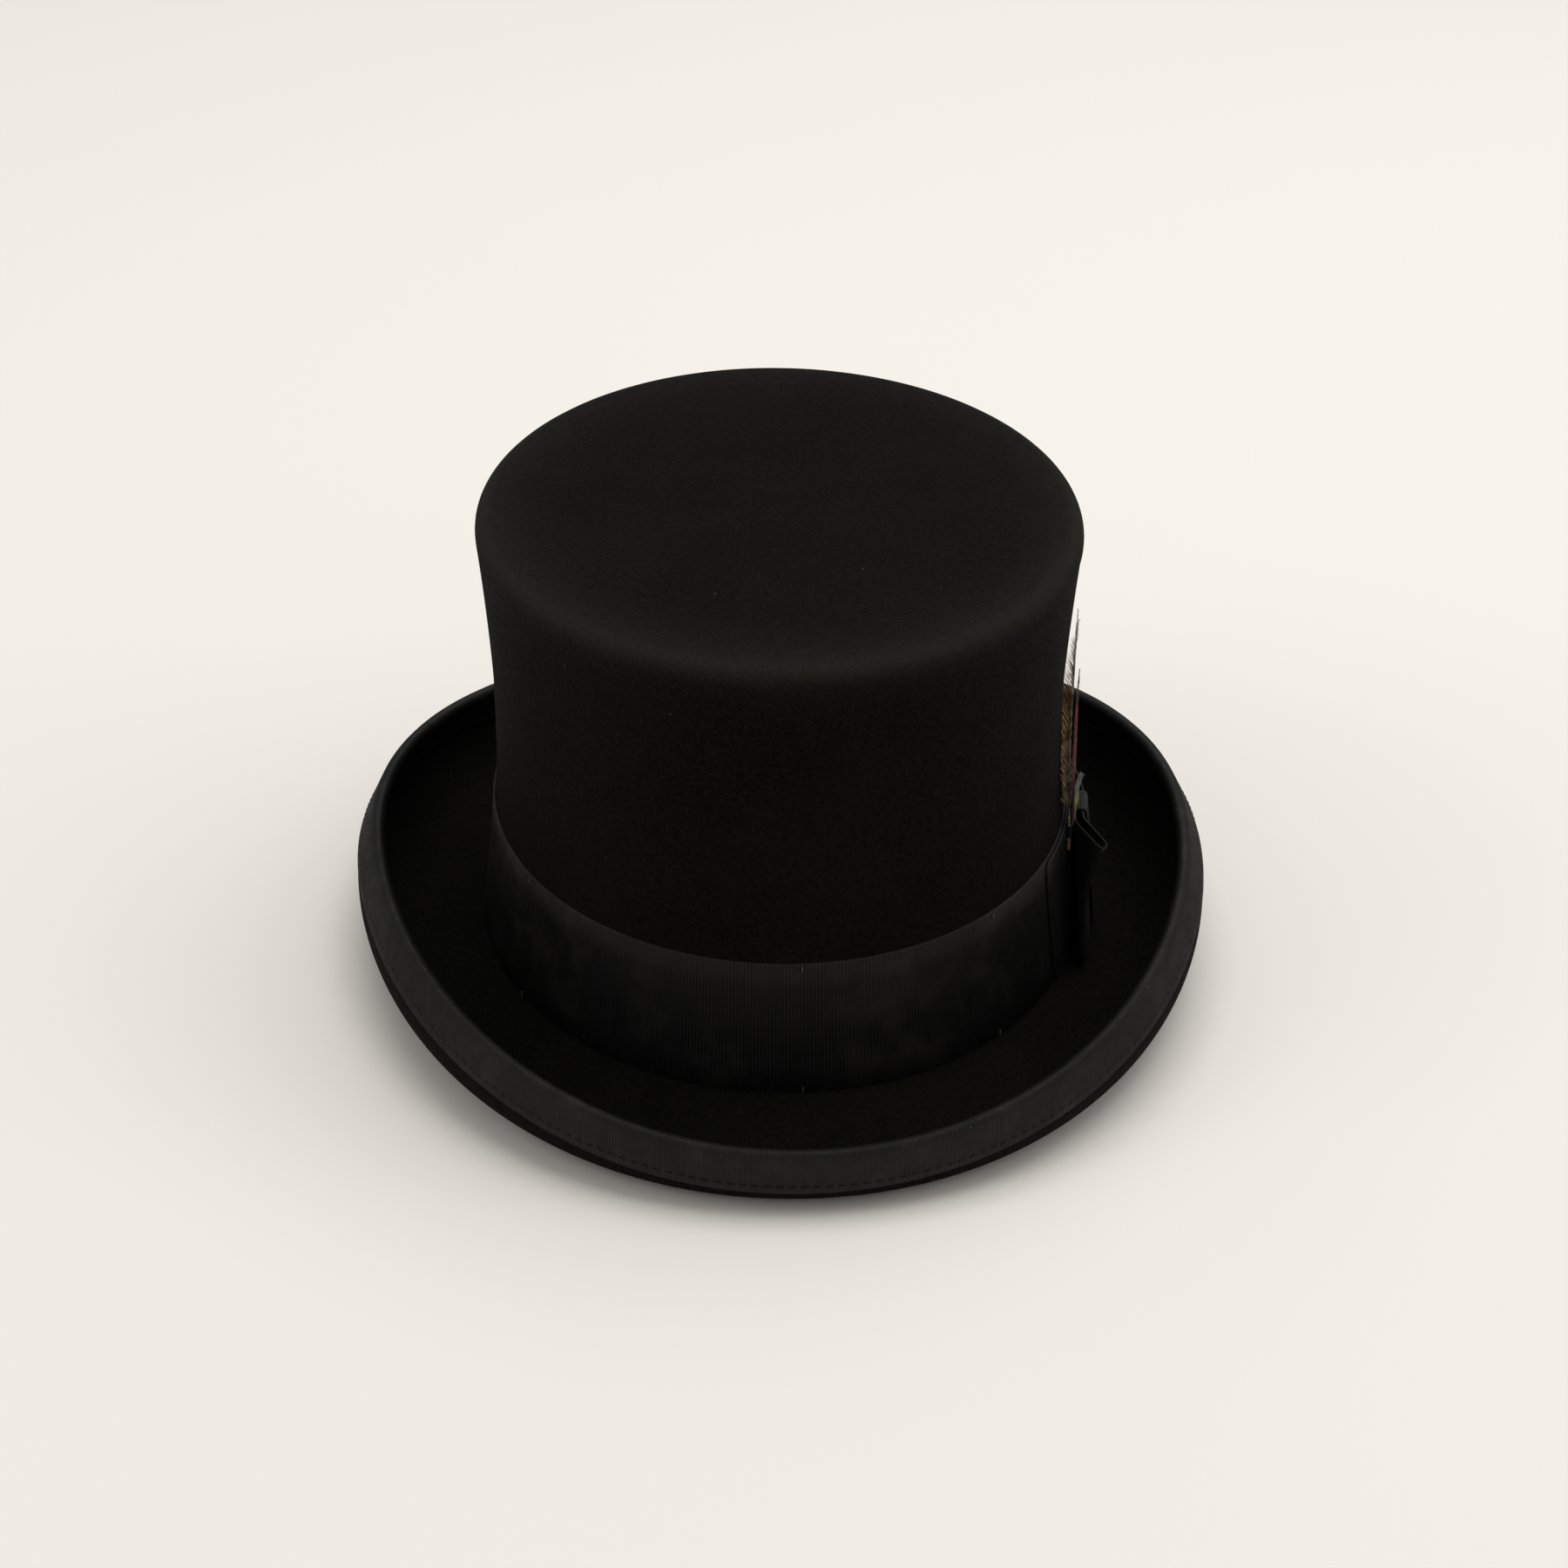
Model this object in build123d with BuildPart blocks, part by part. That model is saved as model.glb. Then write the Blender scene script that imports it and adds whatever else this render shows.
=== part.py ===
from build123d import *
import os
from math import cos, degrees, pi, radians, sin

# A town top hat with a kettle-curled brim, in millimetres.
# +Z is up, the front of the hat faces -Y and the wearer's left is +X.  The origin lies under the
# middle of the hat, on the plane that the brim rests on.

os.makedirs("parts", exist_ok=True)

# Felt crown: every level of it is an oval, longer than wide by the same amount
felt = 2.6
length_extra = 18.5
foot_z = 5.0
waist_z = 84.0
tip_z = 134.5
waist_half_width = 80.5
foot_flare = 6.2
tip_flare = 4.6
tip_edge_radius = 6.0

# Brim: measured outwards from the foot of the crown at the front (and back), and at the sides
fold_reach_front, fold_reach_side = 43.2, 28.6
fold_z_front, fold_z_side = 19.6, 39.6
roll_radius_front, roll_radius_side = 10.0, 17.2
roll_lean_front, roll_lean_side = 2.0, 27.0
roll_slope_front, roll_slope_side = -5.0, 15.0
roll_straight_front, roll_straight_side = 8.0, 9.3
section_step = 10

# Towards the front corners of the brim the roll is fuller, by as much as this
corner_reach, corner_z = 1.8, 2.5
corner_radius, corner_straight = 2.2, 1.2

# Ribbons
ribbon = 0.6
cloth_gap = 0.05
binding_outer_height = 13.0
binding_inner_height = 12.0
thread_above_selvedge = 2.4
thread = 0.35
stitch_clear = 0.15
tack_inset = 1.2
tack_length = 1.4
band_low_z = 8.1
band_width = 38.0
band = 0.8

# Bow, on the wearer's left and a little forward of the middle
bow_angle = -10.0
bow_tilt = 5.2
bow_ribbon = 0.7
bow_backing_length = 72.0
bow_backing_inset = 0.5
keeper_width = 11.0
keeper_near, keeper_far = 2.1, 6.4
keeper_clear = 0.15

# Outline of the bow's ribbon from above, as points (out from the band, back along the band):
# the front loop stands off the crown and the rear loop lies along it
front_leaf = [(2.05, -6.0), (2.5, -12.0), (6.3, -21.0), (8.9, -26.4)]
front_end = (10.5, -28.4)
front_face = [(12.0, -26.0), (10.9, -22.0), (7.6, -14.5), (5.3, -8.0)]
rear_face = [(5.1, 6.0), (4.3, 12.5), (2.9, 19.5), (1.0, 26.0)]
rear_end = (-0.3, 28.2)
rear_leaf = [(-0.8, 26.0), (0.3, 19.5), (1.4, 12.5), (2.0, 6.0)]

# Feather mount, tucked down between the bow and its backing
mount_ahead = 12.0
mount_lean = 19.0
quill = 0.7
vane = 0.3
first_layer = 0.65
layer_gap = 0.1
long_quill_low, short_quill_low = -8.0, -0.8
quill_overlap = 3.0
whipping_low, whipping_high = -4.6, -1.0
whipping_wall = 0.2
whipping_clear = 0.05

# Inside trim
sweatband = 1.2
sweatband_low_z, sweatband_high_z = 7.6, 55.0
lining = 0.5
reed_radius = 1.0
seam_tape_width = 10.0
small_bow_z = 19.0
small_bow_half, small_bow_height, small_bow_thickness = 4.8, 2.6, 1.8
small_knot_width, small_knot_height = 3.0, 3.4
small_bow_clear = 0.8
small_bow_spread = 0.6
tag_length, tag_height, tag_thickness = 14.0, 9.0, 0.4
tag_y, tag_z = 30.0, 42.0
lining_low_z, lining_high_z = 34.0, 129.0
lining_levels = 13
lining_clear = 0.15
sweatband_clear = 0.35
tip_lining_below = 1.6
tip_lining_inset = 1.0


def crown_half_width(z):
    """Half width of the felt crown's outside at height z."""
    if z < waist_z:
        return waist_half_width + foot_flare * ((waist_z - z) / (waist_z - foot_z)) ** 2
    return waist_half_width + tip_flare * ((z - waist_z) / (tip_z - waist_z)) ** 1.3


def oval_loft(z_low, z_high, outward, mode=Mode.ADD, levels=7):
    """A stack of ovals that follows the crown, `outward` from its outside."""
    ovals = []
    for level in range(levels):
        z = z_low + (z_high - z_low) * level / (levels - 1)
        half_width = crown_half_width(z) + outward
        with BuildSketch(Plane.XY.offset(z)) as oval:
            Ellipse(half_width, half_width + length_extra)
        ovals.append(oval.sketch)
    loft(ovals, mode=mode)


def oval_point(angle, z, outward=0.0):
    """Point on the crown's oval at height z, and the way that faces out there."""
    half_width = crown_half_width(z)
    half_length = half_width + length_extra
    turn = radians(angle)
    facing = Vector(cos(turn) / half_width, sin(turn) / half_length, 0).normalized()
    point = Vector(half_width * cos(turn), half_length * sin(turn), z) + facing * outward
    return point, facing


def brim_section(angle):
    """The brim's roll at one angle round the oval, as reach from the crown and height."""
    side = abs(cos(radians(angle))) ** 2.3
    front = abs(sin(radians(angle))) ** 2.5
    fold_reach = fold_reach_side + (fold_reach_front - fold_reach_side) * front
    fold_z = fold_z_front + (fold_z_side - fold_z_front) * side
    radius = roll_radius_front + (roll_radius_side - roll_radius_front) * side
    lean = roll_lean_front + (roll_lean_side - roll_lean_front) * side
    slope = roll_slope_front + (roll_slope_side - roll_slope_front) * side
    straight = roll_straight_front + (roll_straight_side - roll_straight_front) * side
    if sin(radians(angle)) < 0:
        corner = sin(radians(2 * angle)) ** 2
        fold_reach += corner_reach * corner
        fold_z += corner_z * corner
        radius += corner_radius * corner
        straight += corner_straight * corner
    lean_cos, lean_sin = cos(radians(lean)), sin(radians(lean))
    return {
        "centre_reach": fold_reach + straight * lean_sin - radius * lean_cos,
        "centre_z": fold_z - straight * lean_cos - radius * lean_sin,
        "radius": radius,
        "slope": slope,
        "lean": lean,
        "straight": straight,
    }


def brim_plane(angle):
    """Upright plane across the brim: x runs outwards from the crown and y is height."""
    point, facing = oval_point(angle, foot_z)
    return Plane(
        origin=(point.X, point.Y, 0), x_dir=facing, z_dir=Vector(facing.Y, -facing.X, 0)
    )


def roll_point(section, slope, outward):
    """Point of the roll where the brim climbs at `slope` degrees, `outward` from mid-felt."""
    radius = section["radius"] + outward
    return (
        section["centre_reach"] + radius * sin(radians(slope)),
        section["centre_z"] - radius * cos(radians(slope)),
    )


def end_point(section, outward, beyond=0.0):
    """Point at the end of the felt inside the binding, `beyond` further along the felt."""
    upright = 90 + section["lean"]
    reach, z = roll_point(section, upright, outward)
    run = section["straight"] - edge_reach + beyond
    return reach + run * cos(radians(upright)), z + run * sin(radians(upright))


def rolled_side(section, slope_low, outward):
    """One side of the rolled edge: an arc, then the straight part."""
    slope_high = 90 + section["lean"]
    ThreePointArc(
        roll_point(section, slope_low, outward),
        roll_point(section, (slope_low + slope_high) / 2, outward),
        roll_point(section, slope_high, outward),
    )
    Line(roll_point(section, slope_high, outward), end_point(section, outward))


def edge_cap(section, outward):
    """Half circle round the end of the felt."""
    ThreePointArc(
        end_point(section, outward),
        end_point(section, 0, outward),
        end_point(section, -outward),
    )


def selvedge_slope(section, height, outward):
    """Slope of the roll where a ribbon that comes `height` down from the fold ends."""
    arc = height - section["straight"]
    return 90 + section["lean"] - degrees(arc / (section["radius"] + outward))


def flat_part(section, start_z, outward):
    """The brim from the crown to the start of the roll, on one side of the felt."""
    slope = radians(section["slope"])
    start = (-felt / 2, start_z)
    end = roll_point(section, section["slope"], outward)
    run = (end[0] - start[0]) / 3
    Bezier(
        start,
        (start[0] + run, start_z),
        (end[0] - run * cos(slope), end[1] - run * sin(slope)),
        end,
    )


def felt_outline(section):
    flat_part(section, foot_z, felt / 2)
    rolled_side(section, section["slope"], felt / 2)
    edge_cap(section, felt / 2)
    rolled_side(section, section["slope"], -felt / 2)
    flat_part(section, foot_z + felt, -felt / 2)
    Line((-felt / 2, foot_z), (-felt / 2, foot_z + felt))


def binding_outline(section):
    near = felt / 2 + cloth_gap
    far = near + ribbon
    outer_slope = selvedge_slope(section, binding_outer_height, far)
    inner_slope = selvedge_slope(section, binding_inner_height, -far)
    for outward in (near, far):
        rolled_side(section, outer_slope, outward)
        edge_cap(section, outward)
        rolled_side(section, inner_slope, -outward)
    Line(roll_point(section, outer_slope, near), roll_point(section, outer_slope, far))
    Line(roll_point(section, inner_slope, -near), roll_point(section, inner_slope, -far))


def thread_outline(section):
    near = edge_reach + cloth_gap
    far = near + thread
    low = selvedge_slope(section, binding_outer_height - thread_above_selvedge, far)
    high = low + degrees(thread / section["radius"])
    Polyline(
        roll_point(section, low, near),
        roll_point(section, low, far),
        roll_point(section, high, far),
        roll_point(section, high, near),
        close=True,
    )


def brim_ring(outline):
    """Loft an outline round the left half of the hat and mirror it to the right half."""
    sections = []
    for angle in range(-90, 91, section_step):
        with BuildSketch(brim_plane(angle)) as section:
            with BuildLine():
                outline(brim_section(angle))
            make_face()
        sections.append(section.sketch)
    loft(sections)
    mirror(about=Plane.YZ)


def save(builder, name):
    """Label a finished piece and write its STEP file."""
    builder.part.label = name
    export_step(builder.part, f"parts/{name}.step")


edge_reach = felt / 2 + cloth_gap + ribbon
band_high_z = band_low_z + band_width

# Felt: the crown and the brim are blocked from one hood

with BuildPart() as brim:
    brim_ring(felt_outline)

with BuildPart() as felt_body:
    oval_loft(foot_z, tip_z, 0)
    fillet(felt_body.edges().group_by(Axis.Z)[-1], tip_edge_radius)
    add(brim.part)
    oval_loft(foot_z, tip_z - felt, -felt, mode=Mode.SUBTRACT)
save(felt_body, "felt_body")

# Binding of the brim and the thread that sews it

with BuildPart() as brim_binding:
    brim_ring(binding_outline)
save(brim_binding, "brim_binding")

with BuildPart() as binding_thread:
    brim_ring(thread_outline)
save(binding_thread, "binding_thread")

# Hat band and the tacks that hold it

band_outside = cloth_gap + band
with BuildPart() as hat_band:
    oval_loft(band_low_z, band_high_z, band_outside)
    oval_loft(band_low_z, band_high_z, cloth_gap, mode=Mode.SUBTRACT)
save(hat_band, "hat_band")

tack_angles = (-150, -90, -50, 30, 90, 150)
with BuildPart() as tack_stitches:
    for angle in tack_angles:
        for edge_z in (band_low_z + tack_inset, band_high_z - tack_inset):
            point, facing = oval_point(angle, edge_z, band_outside + stitch_clear + thread / 2)
            with Locations(Plane(origin=point, x_dir=facing, z_dir=(0, 0, 1)).location):
                Box(thread, thread, tack_length)
save(tack_stitches, "tack_stitches")

# Bow: u runs outwards from the band's top edge, v backwards along the band

bow_origin, bow_out = oval_point(bow_angle, band_high_z, band_outside)
bow_back = Vector(-bow_out.Y, bow_out.X, 0)
bow_up = Vector(0, 0, cos(radians(bow_tilt))) - bow_out * sin(radians(bow_tilt))
bow_plane = Plane(origin=bow_origin, x_dir=bow_back.cross(bow_up), z_dir=bow_up)
backing_inside = band_outside + cloth_gap

with BuildPart() as bow_backing:
    backing_low_z = band_low_z + bow_backing_inset
    backing_high_z = band_high_z - bow_backing_inset
    oval_loft(backing_low_z, backing_high_z, backing_inside + bow_ribbon)
    oval_loft(backing_low_z, backing_high_z, backing_inside, mode=Mode.SUBTRACT)
    with Locations(Plane(origin=bow_origin, x_dir=bow_out, z_dir=(0, 0, 1)).location):
        Box(40, bow_backing_length, 3 * band_width, mode=Mode.INTERSECT)
save(bow_backing, "bow_backing")


def inset_towards(point, inset, outwards):
    """A point of the ribbon's outline moved into the ribbon: its face moves in, its leaf out."""
    return (point[0] - inset * outwards, point[1])


def loop_outline(inset):
    """Closed outline of the bow's ribbon, pinched in the middle, `inset` in from its outside."""
    near = [inset_towards(point, inset, -1) for point in front_leaf]
    face = [inset_towards(point, inset, 1) for point in front_face + rear_face]
    rear = [inset_towards(point, inset, -1) for point in rear_leaf]
    front_fold = (front_end[0], front_end[1] + inset)
    rear_fold = (rear_end[0], rear_end[1] - inset)
    Spline(*near, front_fold, *face, rear_fold, *rear, periodic=True)


with BuildPart() as bow_loops:
    with BuildSketch(bow_plane):
        with BuildLine():
            loop_outline(0)
        make_face()
        with BuildLine():
            loop_outline(bow_ribbon)
        make_face(mode=Mode.SUBTRACT)
    extrude(amount=-band_width)
save(bow_loops, "bow_loops")

with BuildPart() as bow_keeper:
    with BuildSketch(bow_plane.offset(keeper_clear + bow_ribbon)):
        with Locations(((keeper_near + keeper_far) / 2, 0)):
            Rectangle(keeper_far - keeper_near, keeper_width)
    extrude(amount=-(band_width + 2 * (keeper_clear + bow_ribbon)))
    with BuildSketch(bow_plane.offset(keeper_clear)):
        with Locations(((keeper_near + keeper_far) / 2 - bow_ribbon, 0)):
            Rectangle(keeper_far - keeper_near, keeper_width)
    extrude(amount=-(band_width + 2 * keeper_clear), mode=Mode.SUBTRACT)
save(bow_keeper, "bow_keeper")

# Feather mount: flat feathers in layers, with their quills whipped together

mount_origin = bow_origin - bow_back * mount_ahead
mount_up = bow_back * sin(radians(mount_lean)) + Vector(0, 0, cos(radians(mount_lean)))
mount_across = mount_up.cross(bow_out)


def mount_plane(outward):
    """Plane that faces outwards: x runs across the feathers and y along their quills."""
    return Plane(origin=mount_origin + bow_out * outward, x_dir=mount_across, z_dir=bow_out)


def feather(name, outward, quill_low, vane_low, vane_high, half_width):
    """A feather: a pointed oval vane on a quill, in its own layer of the mount."""
    with BuildPart() as piece:
        with BuildSketch(mount_plane(outward)):
            middle = (vane_low + 2 * vane_high) / 3
            with BuildLine():
                Spline((0, vane_low), (half_width, middle), (0, vane_high))
                Spline((0, vane_low), (-half_width, middle), (0, vane_high))
            make_face()
            quill_high = vane_low + quill_overlap
            with Locations((0, (quill_low + quill_high) / 2)):
                Rectangle(quill, quill_high - quill_low)
        extrude(amount=vane)
    save(piece, name)


layer = vane + layer_gap
feather("feather_down", first_layer, long_quill_low, 4, 61, 5.0)
feather("feather_tan", first_layer + layer, long_quill_low, 3, 58, 4.6)
feather("feather_red", first_layer + 2 * layer, long_quill_low, 2, 44, 3.8)
feather("feather_grey", first_layer + 3 * layer, short_quill_low, 0, 14, 4.2)

with BuildPart() as hackle_tuft:
    with BuildSketch(mount_plane(first_layer + 4 * layer)):
        with BuildLine():
            Polyline((-1.2, 0.8), (-4.2, 8), (0, 10.5), (4.2, 8), (1.2, 0.8), close=True)
        make_face()
    extrude(amount=vane)
save(hackle_tuft, "hackle_tuft")

quill_stack = 2 * layer + vane
with BuildPart() as quill_whipping:
    with BuildSketch(Plane(mount_origin + mount_up * whipping_low, bow_out, mount_up)):
        with Locations((first_layer + quill_stack / 2, 0)):
            hole_length = quill_stack + 2 * whipping_clear
            hole_width = quill + 2 * whipping_clear
            Rectangle(hole_length + 2 * whipping_wall, hole_width + 2 * whipping_wall)
            Rectangle(hole_length, hole_width, mode=Mode.SUBTRACT)
    extrude(amount=whipping_high - whipping_low)
save(quill_whipping, "quill_whipping")

# Sweatband with its reed, its back seam and the small bow over the seam

lining_outside = -felt - lining_clear
sweatband_outside = lining_outside - lining - sweatband_clear
sweatband_inside = sweatband_outside - sweatband
with BuildPart() as sweatband_ring:
    oval_loft(sweatband_low_z, sweatband_high_z, sweatband_outside)
    oval_loft(sweatband_low_z, sweatband_high_z, sweatband_inside, mode=Mode.SUBTRACT)
save(sweatband_ring, "sweatband")

reed_z = sweatband_low_z - reed_radius - cloth_gap
reed_start, reed_facing = oval_point(0, reed_z, (sweatband_outside + sweatband_inside) / 2)
with BuildPart() as sweatband_reed:
    with BuildLine():
        EllipticalCenterArc(
            (0, 0, reed_z), reed_start.X, reed_start.X + length_extra, arc_size=360
        )
    with BuildSketch(Plane(reed_start, x_dir=(1, 0, 0), z_dir=(0, 1, 0))):
        Circle(reed_radius)
    sweep()
save(sweatband_reed, "sweatband_reed")

tape_outside = sweatband_inside - cloth_gap
tape_inside = tape_outside - lining
with BuildPart() as sweatband_seam:
    oval_loft(sweatband_low_z + 1, sweatband_high_z - 1, tape_outside)
    oval_loft(sweatband_low_z + 1, sweatband_high_z - 1, tape_inside, mode=Mode.SUBTRACT)
    with Locations((0, 90, 30)):
        Box(seam_tape_width, 80, 80, mode=Mode.INTERSECT)
save(sweatband_seam, "sweatband_seam")

small_bow_back, small_bow_facing = oval_point(90, small_bow_z, tape_inside - small_bow_clear)
with BuildPart() as sweatband_bow:
    with BuildSketch(Plane(small_bow_back, x_dir=(1, 0, 0), z_dir=(0, -1, 0))):
        for side in (-1, 1):
            with Locations((side * (small_bow_half + small_bow_spread), 0)):
                Ellipse(small_bow_half, small_bow_height)
        Rectangle(small_knot_width, small_knot_height)
    extrude(amount=small_bow_thickness)
save(sweatband_bow, "sweatband_bow")

with BuildPart() as size_tag:
    oval_loft(sweatband_low_z, sweatband_high_z, tape_outside)
    oval_loft(sweatband_low_z, sweatband_high_z, tape_outside - tag_thickness, mode=Mode.SUBTRACT)
    with Locations((-waist_half_width, tag_y, tag_z)):
        Box(waist_half_width, tag_length, tag_height, mode=Mode.INTERSECT)
save(size_tag, "size_tag")

# Satin lining: a side wall round the crown and an oval under the tip

with BuildPart() as lining_side:
    for outward, mode in ((lining_outside, Mode.ADD), (lining_outside - lining, Mode.SUBTRACT)):
        oval_loft(lining_low_z, lining_high_z, outward, mode, levels=lining_levels)
save(lining_side, "lining_side")

with BuildPart() as lining_tip:
    with BuildSketch(Plane.XY.offset(tip_z - felt - tip_lining_below)):
        tip_half_width = crown_half_width(lining_high_z) - felt - tip_lining_inset
        Ellipse(tip_half_width, tip_half_width + length_extra)
    extrude(amount=lining)
save(lining_tip, "lining_tip")
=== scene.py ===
import math

import bmesh
import bpy
import numpy as np
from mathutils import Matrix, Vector


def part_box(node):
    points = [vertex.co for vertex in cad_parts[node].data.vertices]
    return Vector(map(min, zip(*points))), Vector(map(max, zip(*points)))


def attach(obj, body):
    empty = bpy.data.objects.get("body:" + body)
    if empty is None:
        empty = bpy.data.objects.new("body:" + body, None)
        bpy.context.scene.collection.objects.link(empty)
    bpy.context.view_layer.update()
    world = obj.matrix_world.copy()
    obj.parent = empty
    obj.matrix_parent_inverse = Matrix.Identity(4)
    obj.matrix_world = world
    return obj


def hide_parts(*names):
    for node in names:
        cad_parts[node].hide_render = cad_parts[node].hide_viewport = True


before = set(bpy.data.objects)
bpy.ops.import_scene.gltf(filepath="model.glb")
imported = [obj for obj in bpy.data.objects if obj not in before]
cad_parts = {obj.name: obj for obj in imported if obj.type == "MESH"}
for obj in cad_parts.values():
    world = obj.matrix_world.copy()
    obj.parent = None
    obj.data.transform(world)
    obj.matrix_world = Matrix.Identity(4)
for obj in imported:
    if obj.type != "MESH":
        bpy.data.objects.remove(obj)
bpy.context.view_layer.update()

# Sizes are in millimetres, as in the CAD model, and meshes are written in metres.
MM = 0.001


def node_box(node):
    """Lowest and highest corner of a CAD node, in millimetres."""
    low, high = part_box(node)
    return np.array(low) / MM, np.array(high) / MM


# Crown and brim: the same formulas as the CAD felt body

felt_high = node_box("felt_body")[1]
band_low_z = node_box("hat_band")[0][2]
band_high_z = node_box("hat_band")[1][2]
felt = 2.6
length_extra = 18.5
foot_z, waist_z, tip_z = 5.0, 84.0, felt_high[2]
waist_half_width, foot_flare, tip_flare = 80.5, 6.2, 4.6
tip_edge_radius = 6.0
fold_reach = (43.2, 28.6)      # each pair is the front's value and the side's
fold_z = (19.6, 39.6)
roll_radius = (10.0, 17.2)
roll_lean = (2.0, 27.0)
roll_slope = (-5.0, 15.0)
roll_straight = (8.0, 9.3)
corner_reach, corner_z = 1.8, 2.5      # the roll is fuller towards the brim's front corners
corner_radius, corner_straight = 2.2, 1.2
ribbon = 0.6
cloth_gap = 0.05
edge_reach = felt / 2 + cloth_gap + ribbon
binding_heights = (13.0, 12.0)  # outer and inner face, down from the fold
stitch_above_selvedge = 2.4
junction_radius = 0.9         # where the crown meets the brim


def unit(vectors):
    return vectors / np.linalg.norm(vectors, axis=-1, keepdims=True)


def crown_half_width(z):
    below = waist_half_width + foot_flare * (np.clip(waist_z - z, 0, None) / (waist_z - foot_z)) ** 2
    above = tip_flare * (np.clip(z - waist_z, 0, None) / (tip_z - waist_z)) ** 1.3
    return below + above


def oval(angle, z, outward=0.0):
    """Points round the crown's ovals, and the way that each faces out."""
    half_width = crown_half_width(z)
    half_length = half_width + length_extra
    along_x, along_y = np.cos(angle), np.sin(angle)
    facing = unit(np.stack(np.broadcast_arrays(
        along_x / half_width, along_y / half_length, np.zeros_like(angle * z)), -1))
    points = np.stack(np.broadcast_arrays(half_width * along_x, half_length * along_y, z), -1)
    return points + facing * np.asarray(outward)[..., None], facing


def side_weight(angle):
    return np.abs(np.cos(angle)) ** 2.3


def between(pair, weight):
    return pair[0] + (pair[1] - pair[0]) * weight


class BrimRoll:
    """The rolled brim at an array of angles: its arc, its lean and its straight end."""

    def __init__(self, angle):
        self.angle = angle
        side = side_weight(angle)
        front = np.abs(np.sin(angle)) ** 2.5
        corner = np.where(np.sin(angle) < 0, np.sin(2 * angle) ** 2, 0.0)
        reach = between(fold_reach[::-1], front) + corner_reach * corner
        self.radius = between(roll_radius, side) + corner_radius * corner
        self.upright = np.radians(90 + between(roll_lean, side))
        self.slope = np.radians(between(roll_slope, side))
        self.straight = between(roll_straight, side) + corner_straight * corner
        self.centre_reach = (
            reach - self.straight * np.cos(self.upright) - self.radius * np.sin(self.upright))
        self.centre_z = (
            between(fold_z, side) + corner_z * corner - self.straight * np.sin(self.upright)
            + self.radius * np.cos(self.upright))
        self.base, self.facing = oval(angle, foot_z)

    def place(self, reach, z):
        """Row-frame points from reach outwards and height."""
        points = self.base + self.facing * reach[..., None]
        points[..., 2] = z
        return points

    def normal(self, slope):
        """Outward normal where the brim climbs at this slope."""
        direction = self.facing * np.sin(slope)[..., None]
        direction[..., 2] = -np.cos(slope)
        return direction

    def arc(self, slope, outward):
        radius = self.radius + outward
        return self.place(
            self.centre_reach + radius * np.sin(slope), self.centre_z - radius * np.cos(slope))

    def end(self, run, outward):
        """Point on the straight part, `run` past the arc."""
        radius = self.radius + outward
        reach = self.centre_reach + radius * np.sin(self.upright) + run * np.cos(self.upright)
        z = self.centre_z - radius * np.cos(self.upright) + run * np.sin(self.upright)
        return self.place(reach, z)

    def cap(self, turn, outward):
        """Point round the felt's end: turn 0 is its outer face and pi its inner face."""
        run = self.straight - edge_reach
        centre = self.end(run, 0.0)
        direction = self.normal(self.upright + turn)
        return centre + direction * np.asarray(outward)[..., None], direction

    def flat(self, share, outward):
        """Point between the crown and the roll, share 0 to 1, on one side of the felt."""
        start_z = foot_z + felt / 2 - outward
        radius = self.radius + outward
        end_reach = self.centre_reach + radius * np.sin(self.slope)
        end_z = self.centre_z - radius * np.cos(self.slope)
        run = (end_reach + felt / 2) / 3
        reach_points = (-felt / 2, -felt / 2 + run, end_reach - run * np.cos(self.slope), end_reach)
        z_points = (start_z, start_z, end_z - run * np.sin(self.slope), end_z)
        weights = ((1 - share) ** 3, 3 * share * (1 - share) ** 2, 3 * share ** 2 * (1 - share),
                   share ** 3)
        return self.place(sum(w * r for w, r in zip(weights, reach_points)),
                          sum(w * z for w, z in zip(weights, z_points)))


    def share_at(self, reach, outward):
        """Share at which the flat part has come this far out."""
        shares = np.linspace(0, 0.4, 41)
        found = [np.sum((self.flat(np.full_like(self.angle, s), outward) - self.base)
                        * self.facing, -1) for s in shares]
        found = np.stack(found, 1)
        return np.array([np.interp(reach, row, shares) for row in found])


# Mesh helpers


def finish_mesh(name, mesh):
    """Turns the mesh's faces outwards and makes it an object."""
    mesh.shade_smooth()
    mesh.update()
    places = np.zeros(len(mesh.vertices) * 3)
    mesh.vertices.foreach_get("co", places)
    places = places.reshape(-1, 3)
    mesh.calc_loop_triangles()
    corners = np.zeros(len(mesh.loop_triangles) * 3, np.int32)
    mesh.loop_triangles.foreach_get("vertices", corners)
    a, b, c = (places[corners.reshape(-1, 3)[:, k]] for k in range(3))
    if np.sum(a * np.cross(b, c)) < 0:
        mesh.flip_normals()
    piece = bpy.data.objects.new(name, mesh)
    bpy.context.scene.collection.objects.link(piece)
    return piece


def weld(mesh):
    """Joins the points that lie on each other at the middle of a disc."""
    shape = bmesh.new()
    shape.from_mesh(mesh)
    bmesh.ops.remove_doubles(shape, verts=shape.verts, dist=1e-7)
    shape.to_mesh(mesh)
    shape.free()


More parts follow.
